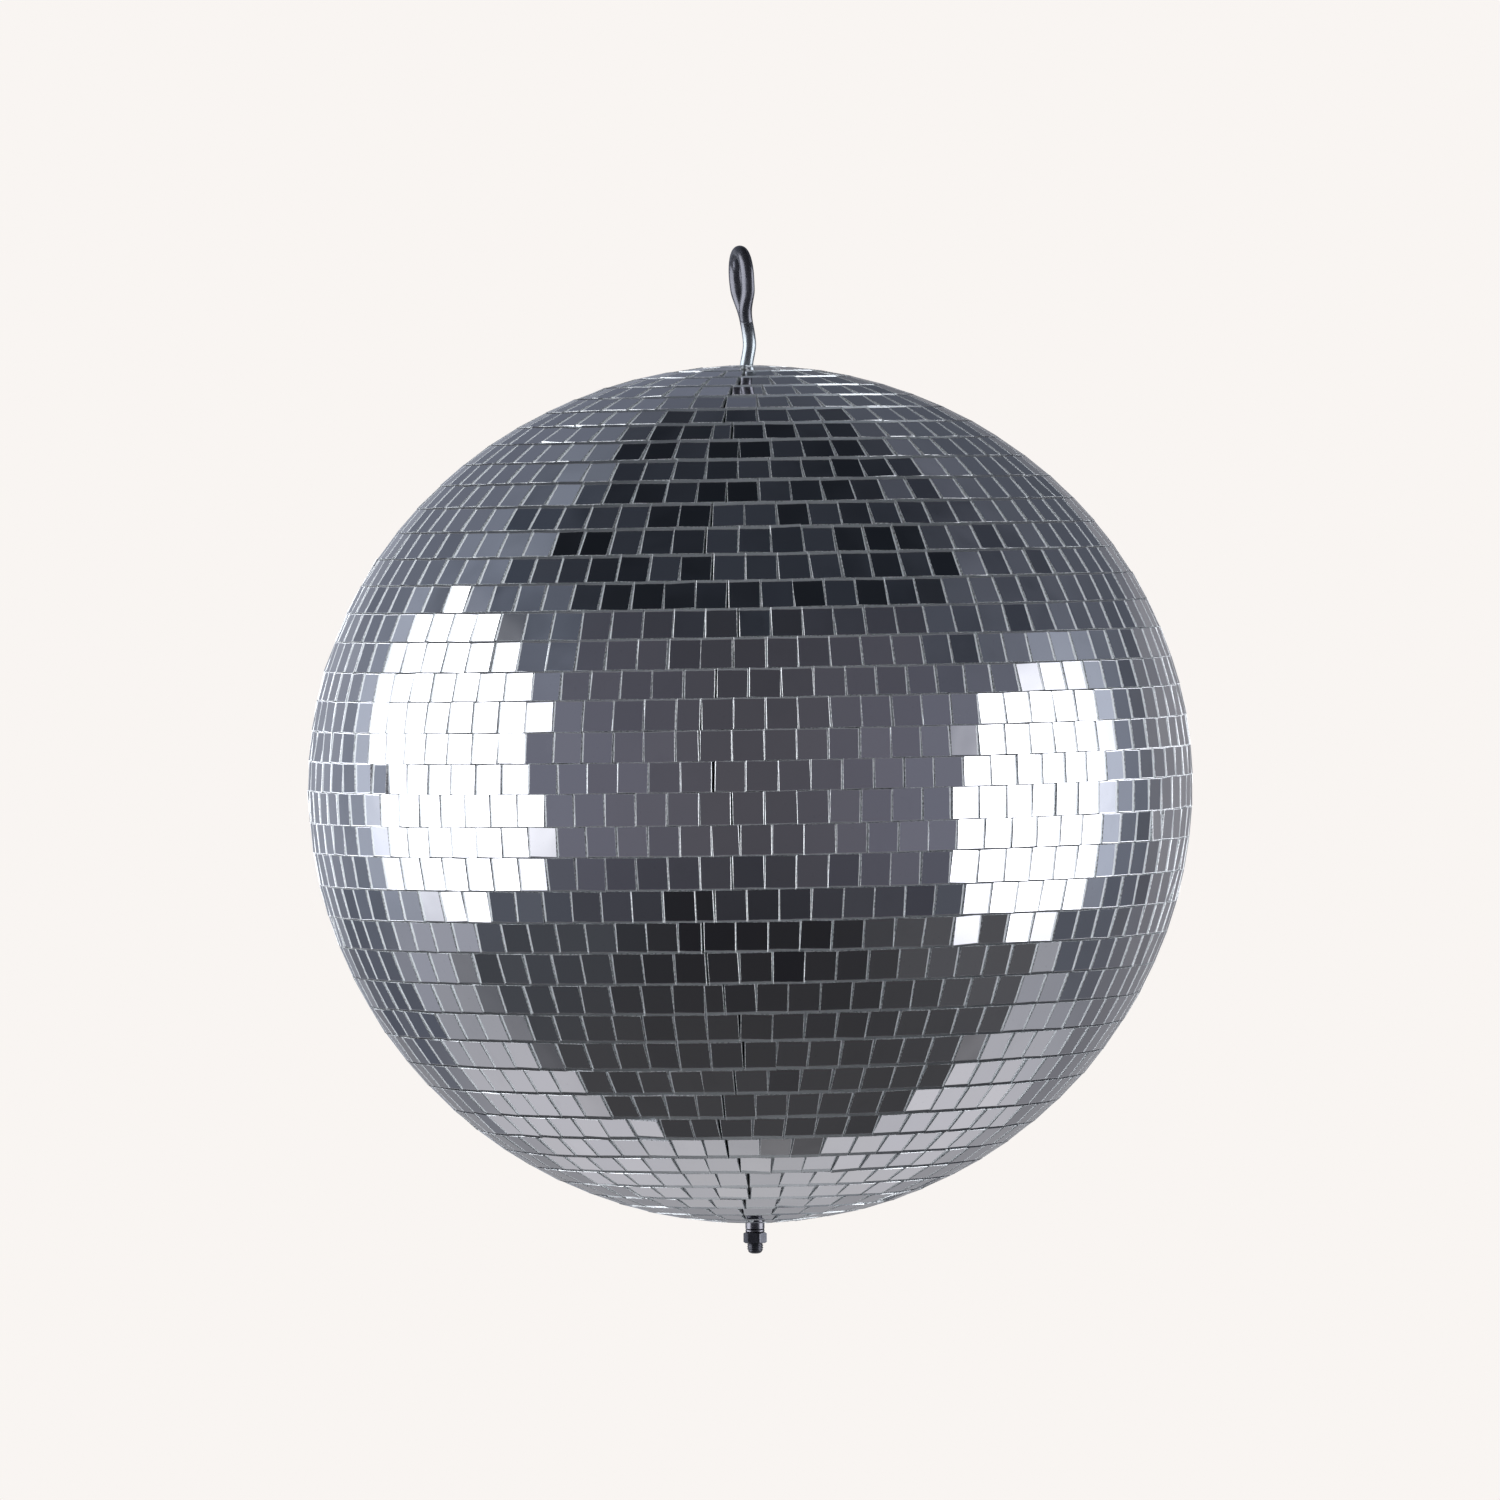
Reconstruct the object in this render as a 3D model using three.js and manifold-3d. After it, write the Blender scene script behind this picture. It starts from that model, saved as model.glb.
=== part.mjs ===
// Hanging mirror ball: a hollow two-part core dressed in rows of mirror tiles, turning on a long eye bolt.
// Millimetres, +Z up. The origin is the lowest point of the bolt's domed tip, on the spin axis.
// Front is -Y. The ball rests on a small ring above the bolt's nut, and can turn and lift on the bolt.
import * as THREE from "three";
import { mergeVertices } from "three/addons/utils/BufferGeometryUtils.js";
import Module from "manifold-3d";

const wasm = await Module();
wasm.setup();

// Ball: widest at its joint, a little flatter above it than below it.
const ballRadius = 150;
const heightAboveJoint = 142.3;
const depthBelowJoint = 149;
const sides = 28; // flats round every turned piece of the ball

// Mirror rows: strips of 10 mm tiles on a thin backing, laid round the ball from pole to pole.
const rowCount = 42;
const rowGap = 0.4;
const rowDrift = 3.9; // the most that the hand-laid rows have crept up the ball
const driftRow = 24; // the row edge where that is
const driftSpread = 11; // rows either side of it over which the creep fades
const stripThickness = 1.6;
const polarOpening = 4.6; // radius left open round the tube at each pole
const seamTurn = -4; // degrees from the front to the place where each strip's two ends meet
const seamWander = 2.6; // degrees that place strays from row to row
const seamWaver = 0.93; // radians of that stray from one row to the next
const seamWidth = 1.2;

// Core: two moulded half shells that lap at the joint, each with a boss that holds the tube.
const skinGap = 0.3;
const coreWall = 2;
const corePoints = 8; // outline points from boss to joint
const lapHeight = 6;
const lapInset = 0.9; // between the upper shell's wall and the lap inside it
const bossRadius = 7;
const bossDepth = 14;
const bossFoot = 1; // where the shell's wall runs into the boss

// Tube, ring, nut and bolt on the spin axis.
const tubeRadius = 3.25;
const tubeWall = 0.5;
const tubeBelowBall = 2.3;
const fitGap = 0.1; // tube in boss, and between pieces that rest on each other
const ringThickness = 1;
const nutAcrossFlats = 7;
const nutTurn = -7; // degrees from a flat square to the front
const nutHeight = 3.6;
const nutChamfer = 0.35;
const threadRadius = 2.5;
const threadLength = 30;
const threadClearance = 0.15;
const tipLength = 3.6; // thread that stands out under the nut
const tipDome = 1.2;
const tipFlat = 1.5; // radius where the dome flattens out
const tipRise = 0.3; // height of the dome there
const wireOverlap = 1; // length of wire joined into the thread
const wireRadius = 2.25;
const wireSides = 12;

// Eye: a teardrop loop bent in the end of the same wire.
const eyeAboveBall = 40.8; // top of the eye over the top of the ball
const eyeRadius = 8.25; // centre line of the loop
const eyeTaper = 15.3; // from the loop's widest line down to its neck
const neckReach = 9; // how far under the neck the wire starts to swing out
const eyeTurn = 13.6; // degrees the loop is twisted from straight fore and aft
const eyeLean = -1.8; // sideways offset of the crown, from handling
const eyeGap = 0.4; // between the loop's cut end and the shank
const shankBow = 1.3; // sideways bow of the wire between ball and neck
const bowStart = 2; // how far inside the ball's top the bow begins

const ringBottom = tipLength + nutHeight + fitGap;
const tubeBottom = ringBottom + ringThickness + fitGap;
const jointHeight = tubeBottom + tubeBelowBall + depthBelowJoint;
const ballTop = jointHeight + heightAboveJoint;
const eyeTop = ballTop + eyeAboveBall;
const eyeCentre = eyeTop - wireRadius - eyeRadius;
const neckHeight = eyeCentre - eyeTaper;

const mirror = { color: 0x9c9ca6, roughness: 0.03, metalness: 1 };
const corePlastic = { color: 0x2b2b2e, roughness: 0.7, metalness: 0 };
const zincSteel = { color: 0xb4b9c0, roughness: 0.22, metalness: 1 };
const plainSteel = { color: 0x9fa2a8, roughness: 0.3, metalness: 1 };

const part = new THREE.Group();

function addPiece(name, geometry, look) {
  const piece = new THREE.Mesh(geometry, new THREE.MeshStandardMaterial(look));
  piece.name = name;
  part.add(piece);
}

// A geometry as a manifold-3d solid, and back again.
function toSolid(geometry) {
  const bare = geometry.index ? geometry.toNonIndexed() : geometry.clone();
  bare.deleteAttribute("normal");
  bare.deleteAttribute("uv");
  const merged = mergeVertices(bare, 1e-3);
  return new wasm.Manifold(
    new wasm.Mesh({
      numProp: 3,
      vertProperties: merged.attributes.position.array,
      triVerts: new Uint32Array(merged.index.array),
    }),
  );
}

function toGeometry(solid) {
  const mesh = solid.getMesh();
  const geometry = new THREE.BufferGeometry();
  geometry.setAttribute("position", new THREE.BufferAttribute(mesh.vertProperties, 3));
  geometry.setIndex(new THREE.BufferAttribute(mesh.triVerts, 1));
  return geometry;
}

// A solid turned about Z from a closed outline of [radius, height] points.
function turned(outline, flats) {
  const points = outline.map(([radius, height]) => new THREE.Vector2(radius, height));
  points.push(points[0].clone());
  return new THREE.LatheGeometry(points, flats).rotateX(Math.PI / 2);
}

// The ball's outline from its top pole to its bottom pole, as radius and height.
const meridian = new THREE.CurvePath();
meridian.add(
  new THREE.EllipseCurve(0, jointHeight, ballRadius, heightAboveJoint, Math.PI / 2, 0, true),
);
meridian.add(
  new THREE.EllipseCurve(0, jointHeight, ballRadius, depthBelowJoint, 0, -Math.PI / 2, true),
);
const meridianLength = meridian.getLength();

// The point at a distance along the outline from the top pole, at a depth under the mirrors.
function underSkin(distance, depth) {
  const along = distance / meridianLength;
  const point = meridian.getPointAt(along);
  const heading = meridian.getTangentAt(along);
  return [point.x + heading.y * depth, point.y - heading.x * depth];
}

// Distance from the top pole to the upper edge of a row.
function rowEdge(row) {
  const pitch = (meridianLength - 2 * polarOpening) / rowCount;
  const fade = Math.min(1, Math.abs(row - driftRow) / driftSpread);
  return polarOpening + row * pitch - (rowDrift * (1 + Math.cos(Math.PI * fade))) / 2;
}

// One strip of mirror tiles: a band on the ball with a slit where its two ends meet.
function makeMirrorRow(row) {
  const upper = rowEdge(row) + rowGap / 2;
  const lower = rowEdge(row + 1) - rowGap / 2;
  const band = turned(
    [
      underSkin(lower, stripThickness),
      underSkin(lower, 0),
      underSkin(upper, 0),
      underSkin(upper, stripThickness),
    ],
    sides,
  );
  const turn = seamTurn + seamWander * Math.sin(row * seamWaver);
  const reach = ballRadius + stripThickness;
  const slit = new THREE.BoxGeometry(seamWidth, reach, 2 * eyeTop);
  slit.translate(0, -reach / 2, 0);
  slit.rotateZ(THREE.MathUtils.degToRad(turn));
  return toGeometry(toSolid(band).subtract(toSolid(slit)));
}

// Evenly spaced outline points of the core between two distances from the top pole, at a depth.
function coreLine(from, to, depth) {
  const points = [];
  for (let i = 0; i <= corePoints; i += 1) {
    points.push(underSkin(from + ((to - from) * i) / corePoints, depth));
  }
  return points;
}

const coreDepth = stripThickness + skinGap;
const bossBore = tubeRadius + fitGap;
const jointDistance = new THREE.EllipseCurve(
  0, 0, ballRadius, heightAboveJoint, Math.PI / 2, 0, true,
).getLength();

// The upper half shell: its rim is plain, and covers the lower shell's lap.
function makeUpperCore() {
  const outer = coreLine(bossRadius, jointDistance, coreDepth);
  const inner = coreLine(jointDistance, bossRadius + bossFoot, coreDepth + coreWall);
  const [, crown] = outer[0];
  return turned(
    [[bossBore, crown - bossDepth], [bossBore, crown], ...outer, ...inner,
      [bossRadius, crown - coreWall - bossFoot], [bossRadius, crown - bossDepth]].reverse(),
    sides,
  );
}

// The lower half shell: its rim steps inwards and stands up inside the upper shell.
function makeLowerCore() {
  const bottomPole = meridianLength;
  const outer = coreLine(jointDistance + fitGap, bottomPole - bossRadius, coreDepth);
  const inner = coreLine(
    bottomPole - bossRadius - bossFoot, jointDistance + lapHeight, coreDepth + coreWall,
  );
  const lapOuter = ballRadius - coreDepth - coreWall - lapInset;
  const lapInner = lapOuter - coreWall;
  const [, crown] = outer[outer.length - 1];
  return turned(
    [[lapInner, jointHeight + lapHeight], [lapOuter, jointHeight + lapHeight],
      [lapOuter, outer[0][1]], ...outer,
      [bossBore, crown], [bossBore, crown + bossDepth], [bossRadius, crown + bossDepth],
      [bossRadius, crown + coreWall + bossFoot], ...inner,
      [lapInner, jointHeight - lapHeight]].reverse(),
    sides,
  );
}

function makeCentralTube() {
  const bore = tubeRadius - tubeWall;
  const top = ballTop - coreDepth;
  return turned(
    [[bore, tubeBottom], [bore, top], [tubeRadius, top], [tubeRadius, tubeBottom]].reverse(),
    sides,
  );
}

function makeThrustRing() {
  const bore = tubeRadius - tubeWall;
  const top = ringBottom + ringThickness;
  return turned(
    [[bore, ringBottom], [bore, top], [tubeRadius, top], [tubeRadius, ringBottom]].reverse(),
    sides,
  );
}

// A hexagon nut with its corners chamfered at both faces, and a plain hole that clears the thread.
function makeBottomNut() {
  const cornerRadius = nutAcrossFlats / Math.sqrt(3);
  const faceRadius = nutAcrossFlats / 2;
  const bore = threadRadius + threadClearance;
  const bottom = tipLength;
  const top = tipLength + nutHeight;
  const prism = new THREE.CylinderGeometry(cornerRadius, cornerRadius, nutHeight, 6)
    .rotateX(Math.PI / 2)
    .rotateZ(THREE.MathUtils.degToRad(30 + nutTurn))
    .translate(0, 0, (bottom + top) / 2);
  const blank = turned(
    [[bore, bottom], [bore, top], [faceRadius, top], [cornerRadius, top - nutChamfer],
      [cornerRadius, bottom + nutChamfer], [faceRadius, bottom]].reverse(),
    sides,
  );
  return toGeometry(toSolid(prism).intersect(toSolid(blank)));
}

// The bolt's centre line in the plane of its eye. Each stretch has its own number of stations, so that
// the straight shank has few faces, and the crown of the eye falls in the middle of a face.
class BentWire extends THREE.Curve {
  constructor(stretches) {
    super();
    this.stretches = stretches;
    this.stations = stretches.reduce((sum, stretch) => sum + stretch.stations, 0);
  }

  getPoint(t) {
    let station = t * this.stations;
    let k = 0;
    while (k < this.stretches.length - 1 && station > this.stretches[k].stations) {
      station -= this.stretches[k].stations;
      k += 1;
    }
    const { line, stations } = this.stretches[k];
    const point = line.getPoint(station / stations);
    return new THREE.Vector3(0, point.x, point.y);
  }

  getUtoTmapping(u) {
    return u;
  }
}

const at = (across, height) => new THREE.Vector2(across, height);

function boltLine() {
  const swing = neckHeight - neckReach;
  const threadTop = tipLength + threadLength;
  const returnEnd = at(-(2 * wireRadius + eyeGap), neckHeight);
  return new BentWire([
    { line: new THREE.LineCurve(at(0, threadTop - wireOverlap), at(0, ballTop)), stations: 1 },
    { line: new THREE.LineCurve(at(0, ballTop), at(0, swing)), stations: 3 },
    {
      line: new THREE.CubicBezierCurve(
        at(0, swing), at(0, neckHeight), at(eyeRadius, eyeCentre - eyeTaper / 2), at(eyeRadius, eyeCentre),
      ),
      stations: 10,
    },
    { line: new THREE.EllipseCurve(0, eyeCentre, eyeRadius, eyeRadius, 0, Math.PI), stations: 15 },
    {
      line: new THREE.CubicBezierCurve(
        at(-eyeRadius, eyeCentre), at(-eyeRadius, eyeCentre - eyeTaper / 2),
        at(returnEnd.x - 1, neckHeight + eyeTaper / 3), returnEnd,
      ),
      stations: 8,
    },
  ]);
}

// Sideways offset of a point of the bolt: none in the ball, then a bow to the right under the neck, a
// lean to the left that grows up to the crown, and the twist of the loop.
function sideways(across, height) {
  const { clamp, degToRad, smoothstep } = THREE.MathUtils;
  const bowMiddle = (ballTop + neckHeight) / 2;
  const bowEnd = neckHeight + eyeTaper / 2;
  const twistEnd = neckHeight + eyeTaper * 0.7;
  const bow = smoothstep(height, ballTop - bowStart, bowMiddle) - smoothstep(height, bowMiddle, bowEnd);
  const lean = clamp((height - bowMiddle) / (eyeTop - bowMiddle), 0, 1);
  const twist = across * Math.tan(degToRad(eyeTurn)) * smoothstep(height, neckHeight, twistEnd);
  return shankBow * bow + eyeLean * lean - twist;
}

// The eye bolt: a round bar, bent at its head into a closed loop, and threaded at its foot.
function makeEyeBolt() {
  const corners = [];
  for (let i = 0; i < wireSides; i += 1) {
    const angle = (2 * Math.PI * (i + 0.5)) / wireSides;
    corners.push(at(wireRadius * Math.cos(angle), wireRadius * Math.sin(angle)));
  }
  const line = boltLine();
  const wire = new THREE.ExtrudeGeometry(new THREE.Shape(corners), {
    steps: line.stations,
    extrudePath: line,
  });
  const places = wire.attributes.position;
  for (let i = 0; i < places.count; i += 1) {
    places.setX(i, places.getX(i) + sideways(places.getY(i), places.getZ(i)));
  }
  const thread = turned(
    [[0, 0], [tipFlat, tipRise], [threadRadius, tipDome],
      [threadRadius, tipLength + threadLength], [0, tipLength + threadLength]],
    sides,
  );
  return toGeometry(toSolid(thread).add(toSolid(wire)));
}

addPiece("eye_bolt", makeEyeBolt(), zincSteel);
addPiece("bottom_nut", makeBottomNut(), zincSteel);
addPiece("thrust_ring", makeThrustRing(), plainSteel);
addPiece("central_tube", makeCentralTube(), plainSteel);
addPiece("upper_core_shell", makeUpperCore(), corePlastic);
addPiece("lower_core_shell", makeLowerCore(), corePlastic);
for (let row = 0; row < rowCount; row += 1) {
  addPiece(`mirror_row_${String(row + 1).padStart(2, "0")}`, makeMirrorRow(row), mirror);
}

export default part;
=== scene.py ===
"""Hanging mirror ball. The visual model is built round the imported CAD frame, in metres, +Z up.

Every mirror row of the CAD is replaced by its tiles on a backing strip. The eye bolt, nut, ring and tube
are replaced by finely turned and swept copies. The core shells are the CAD's own.
"""

import math
import random

import bmesh
import bpy
from mathutils import Matrix, Vector


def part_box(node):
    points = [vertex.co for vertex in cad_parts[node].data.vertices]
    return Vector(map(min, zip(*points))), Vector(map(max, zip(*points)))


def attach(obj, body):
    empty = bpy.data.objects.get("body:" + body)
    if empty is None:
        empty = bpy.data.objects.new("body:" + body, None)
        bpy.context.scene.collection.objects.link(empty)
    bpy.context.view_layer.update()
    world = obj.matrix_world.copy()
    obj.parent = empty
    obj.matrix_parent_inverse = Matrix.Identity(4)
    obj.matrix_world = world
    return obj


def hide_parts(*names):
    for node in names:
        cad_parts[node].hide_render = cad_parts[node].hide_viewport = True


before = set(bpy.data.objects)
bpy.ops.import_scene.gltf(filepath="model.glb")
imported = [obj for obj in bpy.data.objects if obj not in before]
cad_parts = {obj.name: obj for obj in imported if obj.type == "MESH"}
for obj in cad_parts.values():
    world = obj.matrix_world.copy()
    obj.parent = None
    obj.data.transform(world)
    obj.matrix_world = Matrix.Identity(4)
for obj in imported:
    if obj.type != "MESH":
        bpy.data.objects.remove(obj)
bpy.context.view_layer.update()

MM = 0.001
random.seed(41)

# Sizes that come from the frame.
ROW_NODES = sorted(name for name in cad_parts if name.startswith("mirror_row_"))
ROW_BOXES = [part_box(name) for name in ROW_NODES]
BOLT_FOOT, BOLT_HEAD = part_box("eye_bolt")
NUT_FOOT, NUT_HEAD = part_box("bottom_nut")
RING_FOOT, RING_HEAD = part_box("thrust_ring")
TUBE_FOOT, TUBE_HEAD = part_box("central_tube")
JOINT_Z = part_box("upper_core_shell")[0].z
BALL_RADIUS = max((high.x - low.x) / 2 for low, high in ROW_BOXES)
BALL_TOP = ROW_BOXES[0][1].z
BALL_FOOT = ROW_BOXES[-1][0].z
ABOVE_JOINT = BALL_TOP - JOINT_Z
BELOW_JOINT = JOINT_Z - BALL_FOOT

# Mirror tiles and the strips they are glued to.
TILE = 10.34 * MM
TILE_PITCH = 10.55 * MM
TILE_THICKNESS = 1.45 * MM
SIDE_BEVEL = 0.14 * MM  # dressed edges between the tiles of a row
END_BEVEL = 0.05 * MM  # dressed edges against the next row
BEVEL_DEPTH = 0.12 * MM
ROW_GAP = 0.08 * MM
POLAR_OPENING = 4.6 * MM
ROW_DRIFT = 3.9 * MM  # the most that the hand-laid rows have crept up the ball
DRIFT_ROW = 24  # the row edge where that is
DRIFT_SPREAD = 11  # rows either side of it over which the creep fades
ROW_ERROR = 0.3 * MM
ROW_TILT = math.radians(0.5)  # hand-laid rows run a little down to one side
BACKING_DEPTH = 0.6 * MM  # from the ball's surface to the face of the backing
BACKING_THICKNESS = 1.15 * MM
SEAM_AZIMUTH = math.radians(-4.0)  # from the front, towards the left
SEAM_WANDER = math.radians(2.6)
SEAM_WAVER = 0.93
SMALLEST_CUT_TILE = 6.0 * MM
TIGHT_GAP = 0.15 * MM  # between tiles at the tighter side of a row
TILT = math.radians(0.7)  # usual tilt of a tile out of the ball's surface
LOOSE_TILT = math.radians(2.4)  # tilt of the few tiles that sit badly
LOOSE_SHARE = 0.06
TWIST = math.radians(0.9)
SHIFT = 0.16 * MM


# ---------------------------------------------------------------- mesh helpers

def new_object(name, verts, faces, materials, face_materials=None, smooth=False):
    mesh = bpy.data.meshes.new(name)
    mesh.from_pydata([tuple(v) for v in verts], [], faces)
    for material in materials:
        mesh.materials.append(material)
    if face_materials:
        mesh.polygons.foreach_set("material_index", face_materials)
    mesh.polygons.foreach_set("use_smooth", [smooth] * len(mesh.polygons))
    mesh.update()
    obj = bpy.data.objects.new(name, mesh)
    bpy.context.scene.collection.objects.link(obj)
    return obj


def smooth_by_angle(obj, degrees):
    """Smooth shading that keeps edges sharper than the angle."""
    mesh = obj.data
    mesh.polygons.foreach_set("use_smooth", [True] * len(mesh.polygons))
    mesh.set_sharp_from_angle(angle=math.radians(degrees))


def face_outwards(obj):
    work = bmesh.new()
    work.from_mesh(obj.data)
    bmesh.ops.recalc_face_normals(work, faces=work.faces)
    work.to_mesh(obj.data)
    work.free()


# ---------------------------------------------------------------- node helpers

class Nodes:
    """Short calls for building a material or world out of shader nodes."""

    def __init__(self, tree):
        self.tree = tree
        tree.nodes.clear()

    def add(self, kind, **inputs):
        node = self.tree.nodes.new(kind)
        for name, value in inputs.items():
            self.put(node, name.replace("_", " "), value)
        return node

    def put(self, node, name, value):
        socket = node.inputs[name]
        if isinstance(value, bpy.types.NodeSocket):
            self.tree.links.new(value, socket)
        elif socket.type == "RGBA" and not isinstance(value, (int, float)):
            socket.default_value = (*value[:3], 1.0)
        else:
            socket.default_value = value

    def math(self, operation, a, b=None, c=None, clamp=False):
        node = self.tree.nodes.new("ShaderNodeMath")
        node.operation = operation
        node.use_clamp = clamp
        for k, value in enumerate((a, b, c)):
            if isinstance(value, bpy.types.NodeSocket):
                self.tree.links.new(value, node.inputs[k])
            elif value is not None:
                node.inputs[k].default_value = value
        return node.outputs[0]

    def ramp(self, value, low, high, to_low=0.0, to_high=1.0):
        """Smooth step of value from low to high."""
        node = self.tree.nodes.new("ShaderNodeMapRange")
        node.interpolation_type = "SMOOTHSTEP"
        self.tree.links.new(value, node.inputs["Value"])
        node.inputs["From Min"].default_value = low
        node.inputs["From Max"].default_value = high
        node.inputs["To Min"].default_value = to_low
        node.inputs["To Max"].default_value = to_high
        return node.outputs["Result"]

    def between(self, value, low, high, soft):
        """1 where value lies from low to high, with soft sides."""
        rise = self.ramp(value, low - soft, low + soft)
        fall = self.ramp(value, high - soft, high + soft, 1.0, 0.0)
        return self.math("MULTIPLY", rise, fall)

    def blend(self, share, a, b):
        """Number a where share is 0, and b where it is 1."""
        return self.math("ADD", self.math("MULTIPLY", self.math("SUBTRACT", 1.0, share), a), self.math("MULTIPLY", share, b))

    def mix(self, share, a, b):
        """Colour a where share is 0, and b where it is 1."""
        node = self.tree.nodes.new("ShaderNodeMix")
        node.data_type = "RGBA"
        sockets = {s.identifier: s for s in node.inputs}
        for socket, value in (
            (sockets["Factor_Float"], share),
            (sockets["A_Color"], a),
            (sockets["B_Color"], b),
        ):
            if isinstance(value, bpy.types.NodeSocket):
                self.tree.links.new(value, socket)
            elif socket.type == "RGBA":
                socket.default_value = (*value, 1.0)
            else:
                socket.default_value = value
        return next(s for s in node.outputs if s.identifier == "Result_Color")

    def noise(self, vector, scale, detail=3.0, roughness=0.5):
        node = self.add("ShaderNodeTexNoise", Scale=scale, Detail=detail, Roughness=roughness)
        if vector is not None:
            self.tree.links.new(vector, node.inputs["Vector"])
        return node.outputs["Fac"]

    def position(self):
        return self.add("ShaderNodeTexCoord").outputs["Object"]

    def attribute(self, name, output="Vector"):
        node = self.add("ShaderNodeAttribute")
        node.attribute_name = name
        return node.outputs[output]

    def vector(self, operation, a, b=None):
        node = self.tree.nodes.new("ShaderNodeVectorMath")
        node.operation = operation
        for k, value in enumerate((a, b)):
            if value is not None:
                self.tree.links.new(value, node.inputs[k])
        return node.outputs["Value" if operation == "DOT_PRODUCT" else "Vector"]

    def scaled(self, vector, amount):
        node = self.tree.nodes.new("ShaderNodeVectorMath")
        node.operation = "SCALE"
        self.tree.links.new(vector, node.inputs[0])
        self.tree.links.new(amount, node.inputs["Scale"])
        return node.outputs["Vector"]

    def mix_vector(self, share, a, b):
        """Vector a where share is 0, and b where it is 1."""
        return self.vector("ADD", a, self.scaled(self.vector("SUBTRACT", b, a), share))

    def turned(self, vector, source, target):
        node = self.add("ShaderNodeVectorTransform", Vector=vector)
        node.vector_type = "VECTOR"
        node.convert_from = source
        node.convert_to = target
        return node.outputs["Vector"]

    def turned_to_object(self, vector):
        return self.turned(vector, "WORLD", "OBJECT")

    def to_world(self, vector):
        return self.turned(vector, "OBJECT", "WORLD")

    def bump(self, height, strength, distance):
        node = self.add("ShaderNodeBump", Strength=strength, Distance=distance, Height=height)
        return node.outputs["Normal"]

    def surface(self, **inputs):
        """A Principled surface, joined to the material's output."""
        shader = self.add("ShaderNodeBsdfPrincipled", **inputs).outputs[0]
        out = self.tree.nodes.new("ShaderNodeOutputMaterial")
        self.tree.links.new(shader, out.inputs["Surface"])


def new_material(name):
    material = bpy.data.materials.new(name)
    material.use_nodes = True
    return material, Nodes(material.node_tree)


# ---------------------------------------------------------------- materials

def past_the_side(n, here, depths, refraction):
    """Where the line of sight, bent into the glass and sent back by the silvering, comes out past the side of
    the tile. Returns how far past it is along and across the row, and the view without its part down
    the tile, which is the way a mirror must face to act as the corner at the tile's far end."""
    view = n.turned_to_object(n.add("ShaderNodeNewGeometry").outputs["Incoming"])
    across, down = n.attribute("tile_across"), n.attribute("tile_down")
    half = n.add("ShaderNodeSeparateXYZ", Vector=n.attribute("tile_half")).outputs
    place = n.vector("SUBTRACT", here, n.attribute("tile_centre"))
    slopes = [n.vector("DOT_PRODUCT", view, axis) for axis in (across, down)]
    squares = [n.math("MULTIPLY", slope, slope) for slope in slopes]
    straight = n.math("SQRT", n.math("SUBTRACT", refraction**2, n.math("ADD", *squares)))
    past = []
    for axis, slope, limit, depth in zip((across, down), slopes, half, depths):
        stretch = n.math("DIVIDE", 2 * depth, straight)
        reach = n.math("SUBTRACT", n.vector("DOT_PRODUCT", place, axis), n.math("MULTIPLY", slope, stretch))
        past.append(n.math("SUBTRACT", n.math("ABSOLUTE", reach), limit))
    return past, n.vector("SUBTRACT", view, n.scaled(down, slopes[1]))


def mirror_material():
    """Back-silvered glass. Seen aslant, the far side of each tile shows as a bright ground edge that throws
    the light back as the inside of a corner does. Each tile has a faint tint, smudges and a slight wave."""
    material, n = new_material("mirror_glass")
    here = n.position()
    (past_side, past_end), corner = past_the_side(n, here, (0.9 * MM, 1.25 * MM), 1.5)
    grain = n.math("MULTIPLY_ADD", n.noise(here, 400.0, 1.0), 0.14 * MM, -0.07 * MM)
    at_end = n.ramp(n.math("ADD", past_end, grain), -0.32 * MM, 0.10 * MM)
    at_side = n.ramp(n.math("ADD", past_side, grain), -0.10 * MM, 0.06 * MM)
    at_edge = n.math("MAXIMUM", at_end, at_side)

    tile = n.attribute("tile_random", "Fac")
    glass = n.mix(tile, (0.79, 0.80, 0.84), (0.90, 0.905, 0.93))
    smudge = n.ramp(n.noise(here, 55.0, 5.0, 0.6), 0.56, 0.74)
    dust = n.ramp(n.noise(here, 900.0, 2.0), 0.66, 0.74)
    dull = n.math("MULTIPLY", n.math("ADD", smudge, dust, clamp=True), 0.16)
    silvering = n.mix(dull, glass, (0.62, 0.63, 0.66))
    metal = n.math("MULTIPLY_ADD", at_end, 0.55, 0.12)
    wave = n.bump(n.noise(here, 70.0, 1.0), 0.02, 0.0006)
    n.surface(
        Base_Color=n.mix(at_edge, silvering, (0.76, 0.81, 0.83)),
        Metallic=n.blend(at_edge, 1.0, metal),
        Roughness=n.blend(at_edge, n.math("MULTIPLY_ADD", smudge, 0.05, 0.012), 0.3),
        Normal=n.vector("NORMALIZE", n.mix_vector(at_end, wave, n.to_world(corner))),
    )
    return material


def glass_edge_material():
    """The cut rims of the tiles: ground pale blue-green glass, bright where it faces a light."""
    material, n = new_material("cut_glass_edge")
    here = n.position()
    grain = n.noise(here, 1100.0, 3.0)
    n.surface(
        Base_Color=n.mix(grain, (0.74, 0.79, 0.80), (0.93, 0.95, 0.96)),
        Metallic=0.55,
        Roughness=n.ramp(grain, 0.3, 0.7, 0.16, 0.42),
        Normal=n.bump(grain, 0.5, 0.0001),
    )
    return material


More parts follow.
